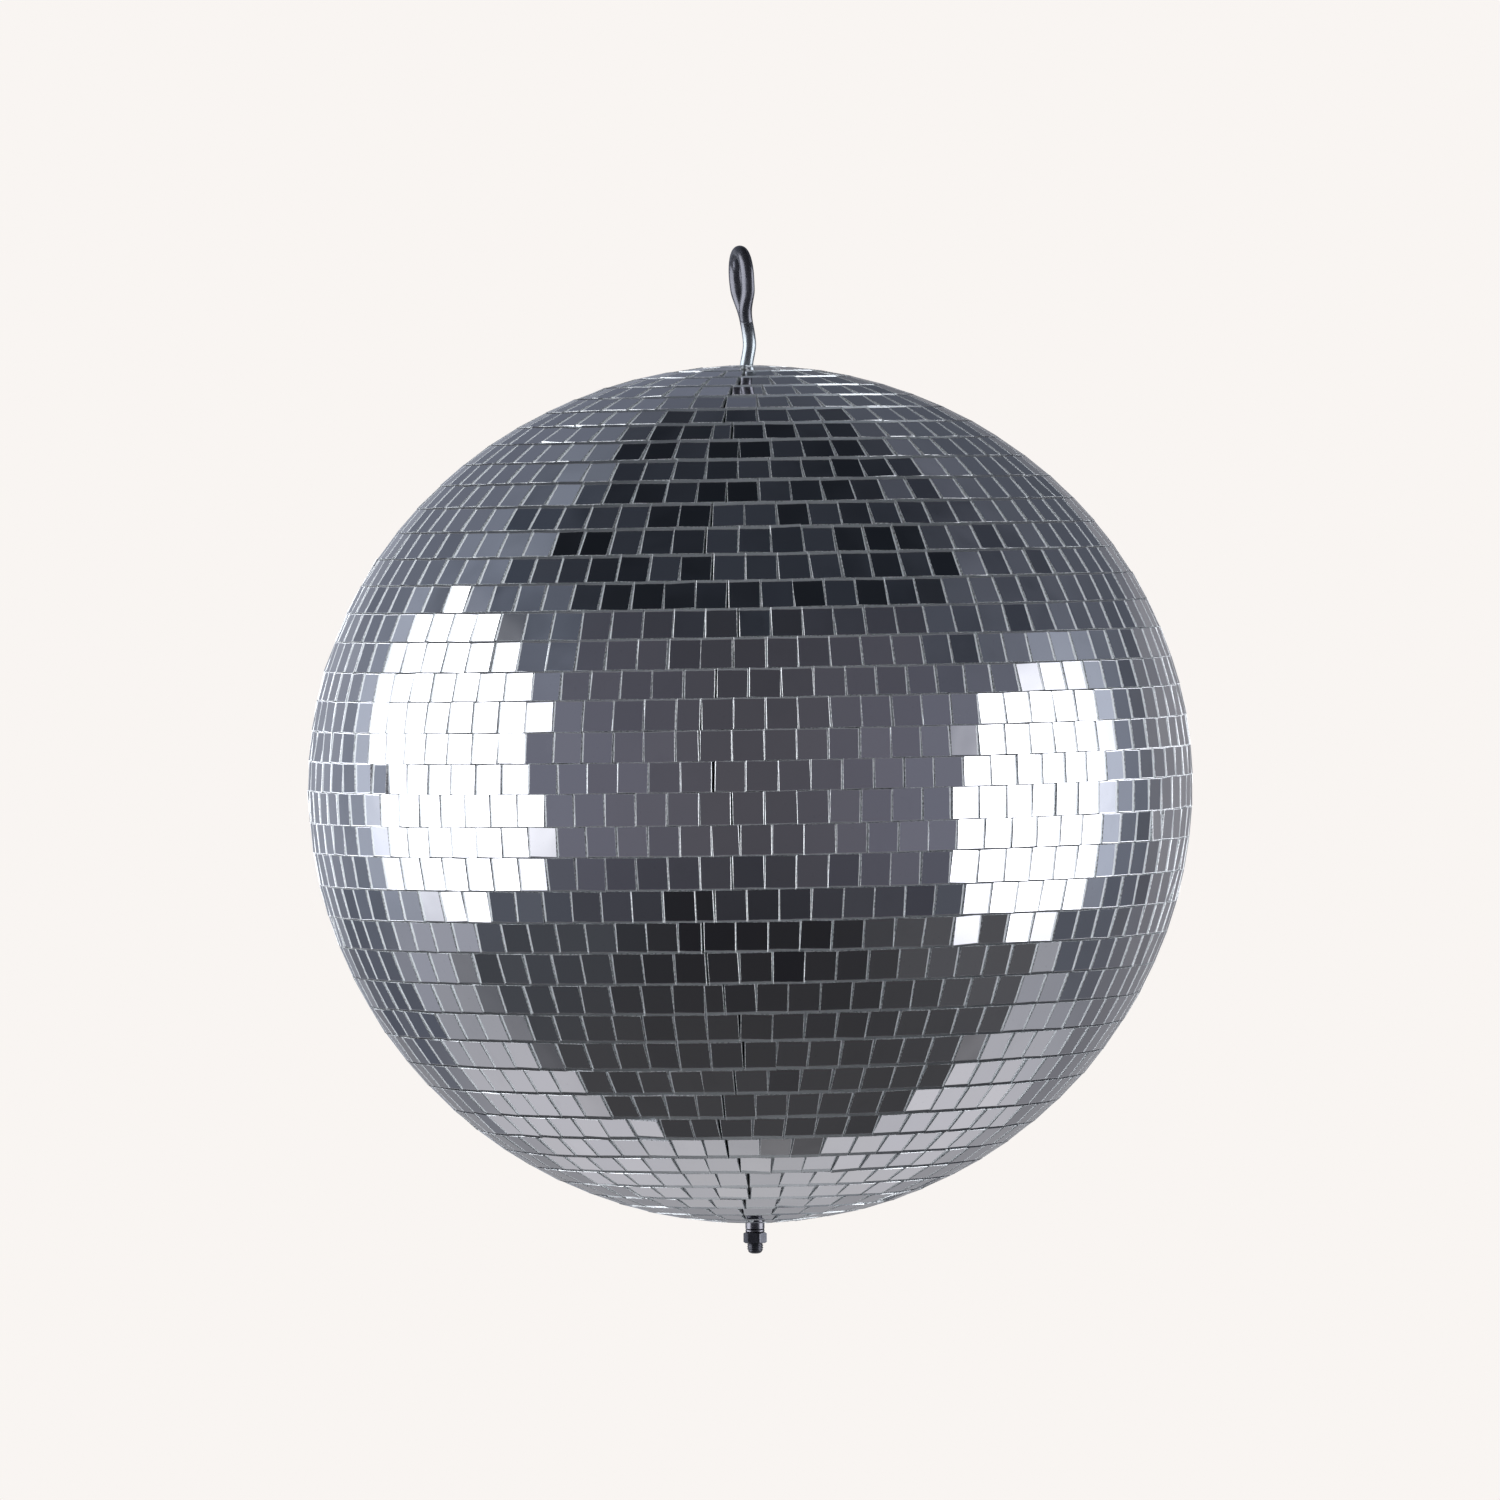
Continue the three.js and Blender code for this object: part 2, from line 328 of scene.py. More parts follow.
def backing_material():
    """Pale woven cloth backing, greyed with glue, seen at the bottom of the gaps."""
    material, n = new_material("strip_backing")
    here = n.position()
    weave = n.noise(here, 2600.0, 2.0)
    glue = n.noise(here, 160.0, 3.0)
    colour = n.mix(glue, (0.62, 0.64, 0.65), (0.84, 0.86, 0.87))
    n.surface(
        Base_Color=n.mix(weave, colour, (0.55, 0.56, 0.58)),
        Roughness=n.ramp(weave, 0.3, 0.7, 0.6, 0.9),
        Normal=n.bump(weave, 0.5, 0.0001),
    )
    return material


def zinc_material():
    """Dark zinc plate on the eye and the thread, with a paler band on the shank between them that is a painted
    reflection of the ball's top.
    """
    material, n = new_material("zinc_plate")
    here = n.position()
    patch = n.noise(here, 240.0, 4.0, 0.6)
    grain = n.noise(here, 2200.0, 2.0)
    height = n.add("ShaderNodeSeparateXYZ", Vector=here).outputs[2]
    # painted reflection: the shank from under the ball's top up to below the neck is painted paler, standing in for
    # the ball's top mirrored in it
    painted_shank_reflection = n.between(height, BALL_TOP - 6 * MM, NECK - 3 * MM, 5 * MM)
    dull = n.mix(patch, (0.070, 0.072, 0.084), (0.15, 0.155, 0.18))
    pale = n.mix(patch, (0.24, 0.275, 0.295), (0.42, 0.47, 0.50))
    n.surface(
        Base_Color=n.mix(painted_shank_reflection, dull, pale),
        Metallic=0.75,
        Roughness=n.ramp(patch, 0.3, 0.75, 0.20, 0.36),
        Normal=n.bump(grain, 0.12, 0.00008),
    )
    return material


def tube_material():
    """Plain drawn steel, a little darker than the plated bolt, with turning marks."""
    material, n = new_material("drawn_steel")
    here = n.position()
    patch = n.noise(here, 300.0, 3.0)
    colour = n.mix(patch, (0.12, 0.12, 0.135), (0.24, 0.24, 0.265))
    n.surface(
        Base_Color=colour,
        Metallic=0.8,
        Roughness=n.ramp(patch, 0.3, 0.7, 0.20, 0.34),
        Normal=n.bump(n.noise(here, 1800.0, 2.0), 0.15, 0.00008),
    )
    return material


def core_material():
    """Moulded dark plastic with a fine mould grain and traces of glue."""
    material, n = new_material("moulded_core")
    here = n.position()
    grain = n.noise(here, 1500.0, 3.0)
    glue = n.ramp(n.noise(here, 45.0, 3.0), 0.55, 0.65)
    n.surface(
        Base_Color=n.mix(glue, (0.025, 0.025, 0.028), (0.10, 0.10, 0.10)),
        Roughness=n.ramp(grain, 0.3, 0.7, 0.45, 0.7),
        Normal=n.bump(grain, 0.3, 0.00015),
    )
    return material


# ---------------------------------------------------------------- ball geometry

class Meridian:
    """The ball's outline from its top pole to its bottom pole, by distance along it."""

    STEPS = 4000

    def __init__(self):
        self.distance = [0.0]
        self.place = [self._at(0.0)]
        for k in range(1, self.STEPS + 1):
            point = self._at(math.pi * k / self.STEPS)
            last = self.place[-1]
            step = math.hypot(point[0] - last[0], point[1] - last[1])
            self.distance.append(self.distance[-1] + step)
            self.place.append(point)
        self.length = self.distance[-1]

    @staticmethod
    def _at(angle):
        reach = ABOVE_JOINT if angle < math.pi / 2 else BELOW_JOINT
        return BALL_RADIUS * math.sin(angle), JOINT_Z + reach * math.cos(angle)

    def point(self, distance):
        """Radius and height at a distance from the top pole, and the heading there."""
        low, high = 0, self.STEPS
        while high - low > 1:
            middle = (low + high) // 2
            if self.distance[middle] <= distance:
                low = middle
            else:
                high = middle
        share = (distance - self.distance[low]) / (self.distance[high] - self.distance[low])
        (r0, z0), (r1, z1) = self.place[low], self.place[high]
        span = math.hypot(r1 - r0, z1 - z0)
        return (
            Vector((r0 + (r1 - r0) * share, z0 + (z1 - z0) * share)),
            Vector(((r1 - r0) / span, (z1 - z0) / span)),
        )


MERIDIAN = Meridian()


def surface_frame(distance, azimuth):
    """Point on the ball, and the directions along the row, down the meridian and outwards."""
    place, heading = MERIDIAN.point(distance)
    across = Vector((math.cos(azimuth), math.sin(azimuth), 0.0))
    radial = Vector((math.sin(azimuth), -math.cos(azimuth), 0.0))
    point = radial * place.x + Vector((0.0, 0.0, place.y))
    down = radial * heading.x + Vector((0.0, 0.0, heading.y))
    return point, across, down, down.cross(across).normalized()


def row_edges():
    """Distances from the top pole to the edges between rows, with their creep and hand-laid errors."""
    pitch = (MERIDIAN.length - 2 * POLAR_OPENING) / len(ROW_NODES)
    edges = []
    for k in range(len(ROW_NODES) + 1):
        fade = min(1.0, abs(k - DRIFT_ROW) / DRIFT_SPREAD)
        creep = ROW_DRIFT * (1 + math.cos(math.pi * fade)) / 2
        error = random.uniform(-1, 1) * ROW_ERROR if 0 < k < len(ROW_NODES) else 0.0
        edges.append(POLAR_OPENING + k * pitch - creep + error)
    return edges


ROW_EDGES = row_edges()


def seam_azimuth(row):
    return SEAM_AZIMUTH + SEAM_WANDER * math.sin(row * SEAM_WAVER)


def row_droop(azimuth, distance):
    """How far a hand-laid row strays down the ball at an azimuth. It fades out at the poles."""
    fade = math.sin(math.pi * distance / MERIDIAN.length) ** 0.5
    return -BALL_RADIUS * math.sin(ROW_TILT) * math.sin(azimuth) * fade


def lay_tiles(row, tiles):
    """Adds the tiles of one row, from the seam round the ball to a last tile cut to fit."""
    upper, lower = ROW_EDGES[row] + ROW_GAP / 2, ROW_EDGES[row + 1] - ROW_GAP / 2
    middle = (upper + lower) / 2
    radii = [MERIDIAN.point(d)[0].x for d in (upper, middle, lower)]
    slit = random.uniform(0.0, 0.5) * MM
    around = 2 * math.pi * radii[1] - slit
    count = int(around / TILE_PITCH)
    rest = around - count * TILE_PITCH
    slots = [TILE_PITCH] * count
    if rest > SMALLEST_CUT_TILE:
        slots.append(rest)
    else:
        slots = [TILE_PITCH + rest / count] * count
    uneven = random.uniform(0.1, 0.5) * MM
    turn = seam_azimuth(row) + slit / 2 / radii[1]
    for slot in slots:
        half = slot / 2 / radii[1]
        stray = random.uniform(-1, 1) * uneven
        lay_tile(middle, turn + half, lower - upper, slot, stray, radii, tiles)
        turn += 2 * half


def lay_tile(middle, azimuth, height, slot, stray, radii, tiles):
    """Adds one flat square tile, narrowed where its row is too tight for it."""
    azimuth += random.uniform(-1, 1) * SHIFT / radii[1]
    middle += row_droop(azimuth, middle) + random.uniform(-0.5, 0.5) * SHIFT
    point, across, down, out = surface_frame(middle, azimuth)
    tilt = LOOSE_TILT if random.random() < LOOSE_SHARE else TILT
    turn = (
        Matrix.Rotation(random.gauss(0, tilt), 3, across)
        @ Matrix.Rotation(random.gauss(0, tilt), 3, down)
        @ Matrix.Rotation(random.gauss(0, TWIST), 3, out)
    )
    across, down, out = turn @ across, turn @ down, turn @ out
    width = min(TILE, slot - (TILE_PITCH - TILE)) + stray
    top = min(width, slot * radii[0] / radii[1] - TIGHT_GAP) / 2
    foot = min(width, slot * radii[2] / radii[1] - TIGHT_GAP) / 2
    rise = height / 2
    corners = [(-foot, rise), (foot, rise), (top, -rise), (-top, -rise)]
    corners = [
        (u + random.uniform(-1, 1) * 0.08 * MM, v + random.uniform(-1, 1) * 0.04 * MM)
        for u, v in corners
    ]
    half = Vector(((top + foot) / 2, rise, 0.0))
    tiles.append((point, across, down, out, corners, half, random.random()))


class StripMesh:
    """A mesh under construction, with the face values that the mirror glass reads."""

    MIRROR, EDGE, BACKING = range(3)
    STRIP = (Vector((1, 0, 0)), Vector((0, 0, -1)), Vector(), Vector((1, 1, 0)), 0.5)

    def __init__(self):
        self.verts, self.faces, self.kinds, self.values = [], [], [], []

    def add_tile(self, point, across, down, out, corners, half, chance):
        """A slab with its front edges dressed: mirror face, bevel, sides and back."""
        first = len(self.verts)
        for depth, inset in ((0.0, 1), (BEVEL_DEPTH, 0), (TILE_THICKNESS, 0)):
            for u, v in corners:
                u -= math.copysign(SIDE_BEVEL * inset, u)
                v -= math.copysign(END_BEVEL * inset, v)
                self.verts.append(point + across * u + down * v - out * depth)
        front, rim, back = (range(first + 4 * k, first + 4 * k + 4) for k in range(3))
        made = [(tuple(front), self.MIRROR), (tuple(reversed(back)), self.BACKING)]
        for k in range(4):
            j = (k + 1) % 4
            made.append(((rim[k], rim[j], front[j], front[k]), self.EDGE))
            made.append(((back[k], back[j], rim[j], rim[k]), self.EDGE))
        for face, kind in made:
            self.faces.append(face)
            self.kinds.append(kind)
            self.values.append((across, down, point, half, chance))

    def add_backing(self, row):
        """The cloth strip under a row: a thin band, open at the seam."""
        steps = 120
        slit = 0.4 * MM / max(MERIDIAN.point(ROW_EDGES[row])[0].x, TILE)
        start = seam_azimuth(row) + slit
        turn = 2 * math.pi - 2 * slit
        first = len(self.verts)
        for k in range(steps + 1):
            azimuth = start + turn * k / steps
            for edge, depth in ((0, 0), (1, 0), (1, 1), (0, 1)):
                distance = ROW_EDGES[row + edge] + (0.1 * MM if edge == 0 else -0.1 * MM)
                distance += row_droop(azimuth, distance)
                point, _, _, out = surface_frame(distance, azimuth)
                self.verts.append(point - out * (BACKING_DEPTH + depth * BACKING_THICKNESS))
        made = []
        for k in range(steps):
            a = first + 4 * k
            for c in range(4):
                d = (c + 1) % 4
                made.append((a + c, a + 4 + c, a + 4 + d, a + d))
        last = first + 4 * steps
        made.append((first, first + 1, first + 2, first + 3))
        made.append((last + 3, last + 2, last + 1, last))
        for face in made:
            self.faces.append(face)
            self.kinds.append(self.BACKING)
            self.values.append(self.STRIP)

    def finish(self, name, materials):
        strip = new_object(name, self.verts, self.faces, materials, self.kinds)
        face_outwards(strip)
        for k, label in enumerate(("tile_across", "tile_down", "tile_centre", "tile_half")):
            attribute = strip.data.attributes.new(label, "FLOAT_VECTOR", "FACE")
            attribute.data.foreach_set("vector", [part for value in self.values for part in value[k]])
        chance = strip.data.attributes.new("tile_random", "FLOAT", "FACE")
        chance.data.foreach_set("value", [value[4] for value in self.values])
        return strip


def make_mirror_rows(materials):
    for row, node in enumerate(ROW_NODES):
        tiles = []
        lay_tiles(row, tiles)
        mesh = StripMesh()
        for tile in tiles:
            mesh.add_tile(*tile)
        mesh.add_backing(row)
        strip = mesh.finish(node.replace("mirror_row", "tile_strip"), materials)
        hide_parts(node)
        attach(strip, "ball")


# ---------------------------------------------------------------- bolt, nut, ring and tube

WIRE_RADIUS = 2.25 * MM
THREAD_RADIUS = 2.5 * MM
NUT_TURN = math.radians(-7.0)  # from a flat square to the front
THREAD_PITCH = 0.8 * MM
THREAD_DEPTH = 0.28 * MM
THREAD_TOP = 33.6 * MM
EYE_RADIUS = 8.25 * MM
EYE_TAPER = 15.3 * MM
NECK_REACH = 9 * MM
EYE_GAP = 0.4 * MM
EYE_TWIST = math.radians(13.6)
EYE_LEAN = -1.8 * MM
SHANK_BOW = 1.3 * MM
BOW_START = 2 * MM
EYE_CENTRE = BOLT_HEAD.z - WIRE_RADIUS - EYE_RADIUS
NECK = EYE_CENTRE - EYE_TAPER


def smooth_step(value, low, high):
    share = min(1.0, max(0.0, (value - low) / (high - low)))
    return share * share * (3 - 2 * share)


def sideways(across, height):
    """Sideways offset of a point of the bolt: bow under the neck, lean up to the crown, twist of the loop."""
    middle = (BALL_TOP + NECK) / 2
    bow = smooth_step(height, BALL_TOP - BOW_START, middle) - smooth_step(height, middle, NECK + EYE_TAPER / 2)
    lean = min(1.0, max(0.0, (height - middle) / (BOLT_HEAD.z - middle)))
    twist = across * math.tan(EYE_TWIST) * smooth_step(height, NECK, NECK + EYE_TAPER * 0.7)
    return SHANK_BOW * bow + EYE_LEAN * lean - twist


def bezier(a, b, c, d, steps):
    """Points on a cubic curve, without its first."""
    points = []
    for k in range(1, steps + 1):
        t = k / steps
        s = 1 - t
        points.append(a * s**3 + b * (3 * s * s * t) + c * (3 * s * t * t) + d * t**3)
    return points


def bolt_line():
    """The bolt's centre line above its thread, as points across and up, in the plane of the eye."""
    foot = Vector((0.0, THREAD_TOP))
    swing = Vector((0.0, NECK - NECK_REACH))
    back = Vector((EYE_RADIUS, EYE_CENTRE))
    front = Vector((-EYE_RADIUS, EYE_CENTRE))
    end = Vector((-(2 * WIRE_RADIUS + EYE_GAP), NECK))
    line = [foot, Vector((0.0, BALL_TOP - 2 * BOW_START))]
    for k in range(1, 17):
        line.append(line[1].lerp(swing, k / 16))
    line += bezier(swing, Vector((0.0, NECK)), back - Vector((0.0, EYE_TAPER / 2)), back, 28)
    for k in range(1, 49):
        turn = math.pi * k / 48
        line.append(Vector((EYE_RADIUS * math.cos(turn), EYE_CENTRE + EYE_RADIUS * math.sin(turn))))
    line += bezier(
        front, front - Vector((0.0, EYE_TAPER / 2)), end + Vector((-1 * MM, EYE_TAPER / 3)), end, 24
    )
    return line


def make_eye_bolt(material):
    """The bar swept along its centre line, with a domed tip, a rolled thread and a rounded cut end."""
    sides = 40
    rings = []
    visible = NUT_HEAD.z + 4 * MM
    steps_per_turn = 16
    rows = int(visible / THREAD_PITCH * steps_per_turn)
    for k in range(rows + 1):
        height = visible * k / rows
        dome = math.sqrt(max(0.0, 1 - (1 - min(1.0, height / (1.9 * MM))) ** 2))
        bulge = 0.24 * MM * smooth_step(NUT_FOOT.z - height, -0.2 * MM, 0.6 * MM)
        ring = []
        for j in range(sides):
            angle = 2 * math.pi * j / sides
            phase = (height / THREAD_PITCH - j / sides) % 1.0
            groove = abs(2 * phase - 1)
            cut = THREAD_DEPTH * smooth_step(groove, 0.15, 0.95) * smooth_step(height, 0.4 * MM, 1.2 * MM)
            radius = max(0.55 * MM, (THREAD_RADIUS + bulge - cut) * (0.3 + 0.7 * dome))
            ring.append(Vector((radius * math.cos(angle), radius * math.sin(angle), height)))
        rings.append(ring)
    for height, radius in ((visible + 0.5 * MM, THREAD_RADIUS), (THREAD_TOP - 1 * MM, THREAD_RADIUS)):
        rings.append([
            Vector((radius * math.cos(2 * math.pi * j / sides), radius * math.sin(2 * math.pi * j / sides), height))
            for j in range(sides)
        ])
    line = bolt_line()
    for k, place in enumerate(line):
        before, after = line[max(0, k - 1)], line[min(len(line) - 1, k + 1)]
        heading = (after - before).normalized()
        normal = Vector((heading.y, -heading.x))
        ring = []
        for j in range(sides):
            angle = 2 * math.pi * j / sides
            spread = place + normal * (WIRE_RADIUS * math.sin(angle))
            x = WIRE_RADIUS * math.cos(angle) + sideways(spread.x, spread.y)
            ring.append(Vector((x, spread.x, spread.y)))
        rings.append(ring)
    end_heading = (line[-1] - line[-2]).normalized()
    centre = sum(rings[-1], Vector()) / sides
    for inset, reach in ((0.9, 0.18), (0.6, 0.42)):
        step = Vector((0.0, end_heading.x, end_heading.y)) * (reach * MM)
        rings.append([centre + (p - centre) * inset + step for p in rings[len(rings) - 1]])
    verts = [v for ring in rings for v in ring]
    faces = []
    for k in range(len(rings) - 1):
        for j in range(sides):
            i = (j + 1) % sides
            a = k * sides
            faces.append((a + j, a + i, a + sides + i, a + sides + j))
    faces.append(tuple(reversed(range(sides))))
    faces.append(tuple(range(len(verts) - sides, len(verts))))
    bolt = new_object("bent_eye_bolt", verts, faces, [material])
    face_outwards(bolt)
    smooth_by_angle(bolt, 50)
    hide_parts("eye_bolt")
    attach(bolt, "hanger")


def turned_piece(name, outline, material, sides=72):
    """A piece turned about the spin axis from a closed outline of radius and height."""
    verts, faces = [], []
    for j in range(sides):
        angle = 2 * math.pi * j / sides
        for radius, height in outline:
            verts.append((radius * math.cos(angle), radius * math.sin(angle), height))
    size = len(outline)
    for j in range(sides):
        i = (j + 1) % sides
        for k in range(size):
            m = (k + 1) % size
            faces.append((j * size + k, i * size + k, i * size + m, j * size + m))
    piece = new_object(name, verts, faces, [material])
    face_outwards(piece)
    smooth_by_angle(piece, 35)
    return piece


def rounded_sleeve(bore, radius, foot, head, edge):
    """Outline of a sleeve with rounded outer edges."""
    arc = []
    for k in range(5):
        turn = math.pi / 2 * k / 4
        arc.append((radius - edge + edge * math.sin(turn), foot + edge - edge * math.cos(turn)))
    for k in range(5):
        turn = math.pi / 2 * k / 4
        arc.append((radius - edge + edge * math.cos(turn), head - edge + edge * math.sin(turn)))
    return [(bore, foot)] + arc + [(bore, head)]


def make_tube_and_ring(material):
    bore = 2.75 * MM
    radius = TUBE_HEAD.x
    tube = turned_piece(
        "drawn_tube", rounded_sleeve(bore, radius, TUBE_FOOT.z, TUBE_HEAD.z, 0.15 * MM), material
    )
    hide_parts("central_tube")
    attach(tube, "ball")
    ring = turned_piece(
        "rounded_ring", rounded_sleeve(bore, radius, RING_FOOT.z, RING_HEAD.z, 0.35 * MM), material
    )
    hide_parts("thrust_ring")
    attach(ring, "thrust_ring")


def make_nut(material):
    """A hexagon nut whose corners are chamfered to arcs, with a countersunk bore."""
    sides = 96
    flat = NUT_HEAD.x / math.cos(NUT_TURN) * math.cos(math.pi / 6)
    middle = (NUT_FOOT.z + NUT_HEAD.z) / 2
    half = (NUT_HEAD.z - NUT_FOOT.z) / 2
    bore = THREAD_RADIUS + 0.12 * MM
    rings = []
    for j in range(sides):
        angle = 2 * math.pi * j / sides
        corner = (angle - NUT_TURN) % (math.pi / 3) - math.pi / 6
        reach = flat / math.cos(corner)
        drop = max(0.0, reach - flat * 0.97) * math.tan(math.radians(30))
        outline = [
            (bore, -half + 0.3 * MM), (bore + 0.3 * MM, -half), (flat * 0.97, -half),
            (reach, -half + drop), (reach, half - drop),
            (flat * 0.97, half), (bore + 0.3 * MM, half), (bore, half - 0.3 * MM),
        ]
        rings.append([
            (r * math.cos(angle), r * math.sin(angle), middle + h) for r, h in outline
        ])
    size = len(rings[0])
    verts = [v for ring in rings for v in ring]
    faces = []
    for j in range(sides):
        i = (j + 1) % sides
        for k in range(size):
            m = (k + 1) % size
            faces.append((j * size + k, i * size + k, i * size + m, j * size + m))
    nut = new_object("chamfered_nut", verts, faces, [material])
    face_outwards(nut)
    smooth_by_angle(nut, 25)
    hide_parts("bottom_nut")
    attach(nut, "hanger")


def dress_core(material):
    """The CAD's own shells, in moulded plastic."""
    for name in ("upper_core_shell", "lower_core_shell"):
        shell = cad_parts[name]
        shell.data.materials.clear()
        shell.data.materials.append(material)


# ---------------------------------------------------------------- studio

PALE = (0.947, 0.913, 0.888)  # the backdrop as the camera sees it


class Sky:
    """The directions round the ball: azimuth from the front towards +X, and elevation, in degrees."""

    def __init__(self, n):
        self.n = n
        self.direction = n.add("ShaderNodeTexCoord").outputs["Generated"]
        self.x, self.y, self.z = n.add("ShaderNodeSeparateXYZ", Vector=self.direction).outputs
        to_degrees = 180 / math.pi
        ahead = n.math("MULTIPLY", self.y, -1.0)
        self.azimuth = n.math("MULTIPLY", n.math("ARCTAN2", self.x, ahead), to_degrees)
        self.elevation = n.math("MULTIPLY", n.math("ARCSINE", self.z), to_degrees)
        self.off_centre = n.math("ABSOLUTE", self.azimuth)
        self.leftness = n.ramp(self.azimuth, -40.0, 40.0, 1.0, 0.0)

    def plane(self, sign):
        """Where the direction meets a ceiling (sign 1) or a floor (sign -1) at unit distance."""
        n = self.n
        rise = n.math("MAXIMUM", n.math("MULTIPLY", self.z, sign), 0.04)
        return n.math("DIVIDE", self.x, rise), n.math("DIVIDE", self.y, rise)

    def outside(self, azimuth, elevation, half_width, half_height, lean):
        """How far the direction lies outside a rounded soft box, in degrees. Inside it is negative.
        The box leans: its middle shifts sideways with the elevation."""
        n = self.n
        turn = n.math("SUBTRACT", self.azimuth, azimuth)
        turn = n.math("MULTIPLY_ADD", self.elevation, -lean, turn)
        rise = n.math("SUBTRACT", self.elevation, elevation)
        parts = [
            n.math("POWER", n.math("DIVIDE", n.math("ABSOLUTE", part), half), 2.5)
            for part, half in ((turn, half_width), (rise, half_height))
        ]
        reach = n.math("POWER", n.math("ADD", *parts), 1 / 2.5)
        return n.math("MULTIPLY_ADD", reach, (half_width + half_height) / 2, -(half_width + half_height) / 2)


def studio_walls(n, sky, mottle):
    """Wall behind the camera, darker high up and low down, then the flanks and the far backdrop."""
    wall = n.mix(n.ramp(sky.off_centre, 3.0, 44.0), (0.088, 0.085, 0.098), (0.150, 0.148, 0.182))
    wall = n.mix(n.ramp(sky.elevation, 6.0, 42.0, 0.0, 0.6), wall, (0.034, 0.035, 0.043))
    wall = n.mix(n.ramp(sky.elevation, -28.0, -10.0, 0.75, 0.0), wall, (0.030, 0.032, 0.040))
    high = n.mix(mottle, (0.050, 0.058, 0.076), (0.23, 0.255, 0.315))
    dim = n.mix(mottle, (0.045, 0.050, 0.064), (0.120, 0.130, 0.160))
    flank = n.mix(sky.leftness, dim, high)
    low = n.ramp(sky.elevation, -24.0, -16.0, 1.0, 0.0)
    under_box = n.mix(n.between(sky.azimuth, -128.0, -86.0, 4.0), (0.10, 0.108, 0.13), (0.36, 0.37, 0.42))
    flank = n.mix(low, flank, under_box)
    room = n.mix(n.ramp(sky.off_centre, 46.0, 64.0), wall, flank)
    back = n.mix(sky.leftness, (0.29, 0.29, 0.315), (0.34, 0.36, 0.42))
    above = n.mix(sky.leftness, (0.095, 0.105, 0.13), (0.165, 0.18, 0.225))
    below = n.mix(sky.leftness, (0.20, 0.20, 0.22), (0.105, 0.115, 0.145))
    back = n.mix(n.ramp(sky.elevation, 8.0, 17.0), back, above)
    below = n.mix(n.ramp(sky.off_centre, 148.0, 172.0), below, (0.33, 0.33, 0.35))
    back = n.mix(n.ramp(sky.elevation, -13.0, -5.0, 1.0, 0.0), back, below)
    return n.mix(n.ramp(sky.off_centre, 120.0, 144.0), room, back)


def studio_ceiling(n, sky, mottle, fine):
    """A plain dark wedge narrowing away from the camera, dimly lit on both sides."""
    over_x, over_y = sky.plane(1)
    over_y = n.math("SUBTRACT", over_y, 0.15)
    spread = n.math("ABSOLUTE", over_x)
    loft = n.mix(mottle, (0.036, 0.040, 0.052), (0.150, 0.160, 0.195))
    bright_loft = n.mix(mottle, (0.055, 0.064, 0.084), (0.24, 0.265, 0.32))
    loft = n.mix(sky.leftness, loft, bright_loft)
    loft = n.mix(n.ramp(over_y, 0.8, 2.0, 0.0, 0.5), loft, (0.29, 0.31, 0.38))
    dark = n.mix(n.ramp(fine, 0.35, 0.65), (0.010, 0.012, 0.016), (0.036, 0.041, 0.053))
    near = n.math("MULTIPLY_ADD", over_y, -1.3, 0.62)
    away = n.math("MULTIPLY_ADD", over_y, -0.25, 0.47)
    wedge = n.math("SUBTRACT", spread, n.math("MAXIMUM", near, away))
    return n.mix(n.ramp(wedge, -0.07, 0.11), dark, loft)


def studio_floor(n, sky):
    """Dark in front of the ball, pale under and behind it, and dimmer far away."""
    under_x, under_y = sky.plane(-1)
    spread = n.math("ABSOLUTE", n.math("SUBTRACT", under_x, 0.03))
    pale = n.mix(n.ramp(spread, 0.0, 0.5), (0.51, 0.505, 0.52), (0.62, 0.61, 0.64))
    pale = n.mix(n.ramp(spread, 0.66, 1.2), pale, (0.34, 0.345, 0.375))
    away = n.math("MULTIPLY", n.ramp(under_y, 0.7, 3.0), n.ramp(spread, 0.2, 0.95, 0.3, 1.0))
    pale = n.mix(away, pale, (0.19, 0.20, 0.23))
    dark = n.mix(n.ramp(under_y, -1.3, 0.2), (0.017, 0.017, 0.020), (0.058, 0.057, 0.060))
    aside = n.mix(n.ramp(under_x, -1.0, 1.0), (0.066, 0.070, 0.080), (0.098, 0.098, 0.105))
    dark = n.mix(n.ramp(spread, 0.4, 1.2), dark, aside)
    edge = n.math("SUBTRACT", under_y, n.ramp(spread, 0.3, 0.9, 0.36, 0.235))
    return n.mix(n.ramp(edge, -0.04, 0.05), dark, pale)


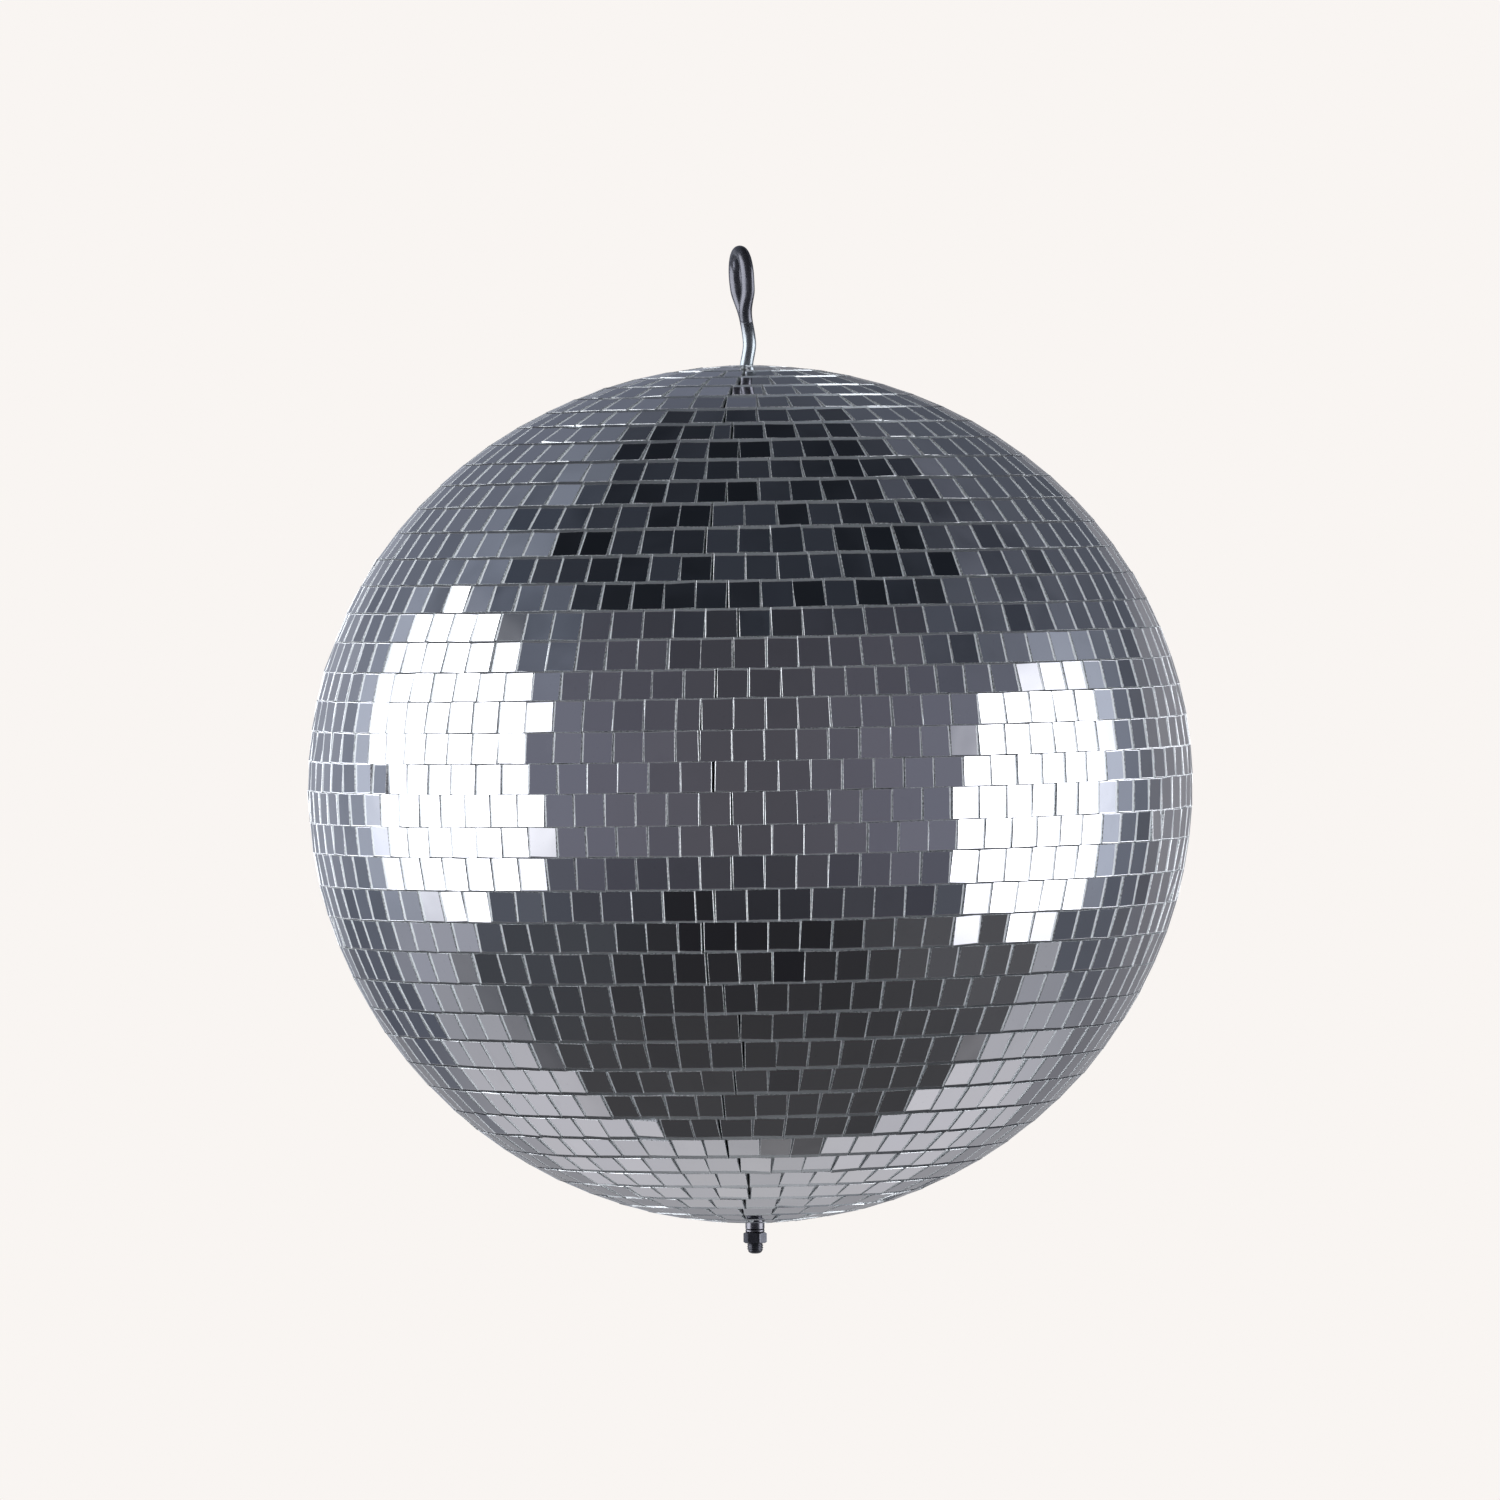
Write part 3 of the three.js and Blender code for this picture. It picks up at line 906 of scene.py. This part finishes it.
def make_world():
    """What the mirrors see: two soft boxes beside the camera in an empty grey studio, with a dark ceiling and
    a floor that is pale under the ball. The camera itself sees a plain pale backdrop."""
    world = bpy.data.worlds.new("studio")
    bpy.context.scene.world = world
    world.use_nodes = True
    n = Nodes(world.node_tree)
    sky = Sky(n)
    clutter = n.noise(sky.direction, 9.0, 4.0, 0.6)
    fine = n.noise(sky.direction, 22.0, 2.0, 0.5)
    mottle = n.ramp(n.math("MULTIPLY_ADD", fine, 0.6, n.math("MULTIPLY", clutter, 0.4)), 0.41, 0.59)
    room = studio_walls(n, sky, mottle)
    room = n.mix(n.ramp(sky.elevation, 38.0, 54.0), room, studio_ceiling(n, sky, mottle, fine))
    room = n.mix(n.ramp(sky.elevation, -32.0, -27.0, 1.0, 0.0), room, studio_floor(n, sky))
    room = n.mix(n.ramp(clutter, 0.3, 0.7, 0.0, 0.16), room, (0.01, 0.01, 0.01))

    beyond = n.math(
        "MINIMUM", sky.outside(-86.0, 6.0, 31.5, 30.0, -0.15), sky.outside(81.5, -3.0, 25.0, 26.5, 0.12)
    )
    outer = n.ramp(sky.off_centre, 80.0, 100.0)
    level = n.between(sky.elevation, -17.0, 26.0, 8.0)
    glow = n.math("MULTIPLY", level, n.ramp(beyond, 0.0, 26.0, 0.75, 0.0))
    room = n.mix(glow, room, n.mix(outer, (0.19, 0.195, 0.24), (0.32, 0.35, 0.42)))
    near = n.math("MULTIPLY", n.math("MULTIPLY", level, outer), n.ramp(beyond, 2.0, 10.0, 0.9, 0.0))
    room = n.mix(near, room, (0.58, 0.62, 0.72))
    lit = n.mix(n.ramp(beyond, -3.0, 2.0, 1.0, 0.0), room, (3.6, 3.6, 3.75))

    seen = n.add("ShaderNodeLightPath").outputs["Is Camera Ray"]
    shade = n.add("ShaderNodeBackground", Color=n.mix(seen, lit, PALE), Strength=1.0)
    out = n.add("ShaderNodeOutputWorld")
    n.tree.links.new(shade.outputs[0], out.inputs["Surface"])


def make_camera():
    """A long lens at the front, level with the ball, framing it with space on all sides."""
    frame_width = 0.5097  # across the picture at the ball
    distance = 3.6
    camera_height = 0.068  # over the point it looks at
    look_at = Vector((0.0, 0.0, JOINT_Z + 11.6 * MM))
    data = bpy.data.cameras.new("camera")
    data.sensor_width = 36
    data.lens = 36 * distance / frame_width
    data.clip_end = 60
    camera = bpy.data.objects.new("camera", data)
    bpy.context.scene.collection.objects.link(camera)
    camera.location = look_at + Vector((0.0, -distance, camera_height))
    aim = (look_at - camera.location).to_track_quat("-Z", "Y").to_matrix().to_4x4()
    roll = Matrix.Rotation(math.radians(-0.6), 4, "Z")
    camera.matrix_world = Matrix.Translation(camera.location) @ aim @ roll
    bpy.context.scene.camera = camera


def make_floor():
    """A plain pale floor well under the ball, of the same paleness as the backdrop it runs into."""
    half, depth = 9.0, -3.6
    corners = [(-half, -half, depth), (half, -half, depth), (half, half, depth), (-half, half, depth)]
    material, n = new_material("pale_floor")
    grain = n.noise(n.position(), 3.0, 2.0)
    n.surface(
        Base_Color=(0.5, 0.49, 0.48),
        Roughness=0.9,
        Emission_Color=n.mix(grain, tuple(0.99 * part for part in PALE), PALE),
        Emission_Strength=0.82,
    )
    floor = new_object("floor", corners, [(0, 1, 2, 3)], [material])
    floor.visible_glossy = False
    floor.visible_diffuse = False


def make_soft_light():
    """A wide soft light over the camera's left shoulder. It lights the matt parts; the mirrors pass it by."""
    data = bpy.data.lights.new("soft_light", "AREA")
    data.shape = "DISK"
    data.size = 2.0
    data.energy = 14.0
    data.color = (1.0, 0.99, 0.97)
    light = bpy.data.objects.new("soft_light", data)
    bpy.context.scene.collection.objects.link(light)
    light.location = (-1.9, -2.6, 2.0)
    target = Vector((0.0, 0.0, JOINT_Z))
    light.rotation_euler = (target - light.location).to_track_quat("-Z", "Y").to_euler()
    light.visible_glossy = False
    light.visible_camera = False


def make_stage():
    """The studio all round, a floor under it, a soft light and the camera."""
    bpy.context.scene.view_settings.view_transform = "Standard"
    make_world()
    make_floor()
    make_soft_light()
    make_camera()


# ---------------------------------------------------------------- build

make_stage()
zinc = zinc_material()
steel = tube_material()
make_mirror_rows([mirror_material(), glass_edge_material(), backing_material()])
make_eye_bolt(zinc)
make_nut(zinc)
make_tube_and_ring(steel)
dress_core(core_material())
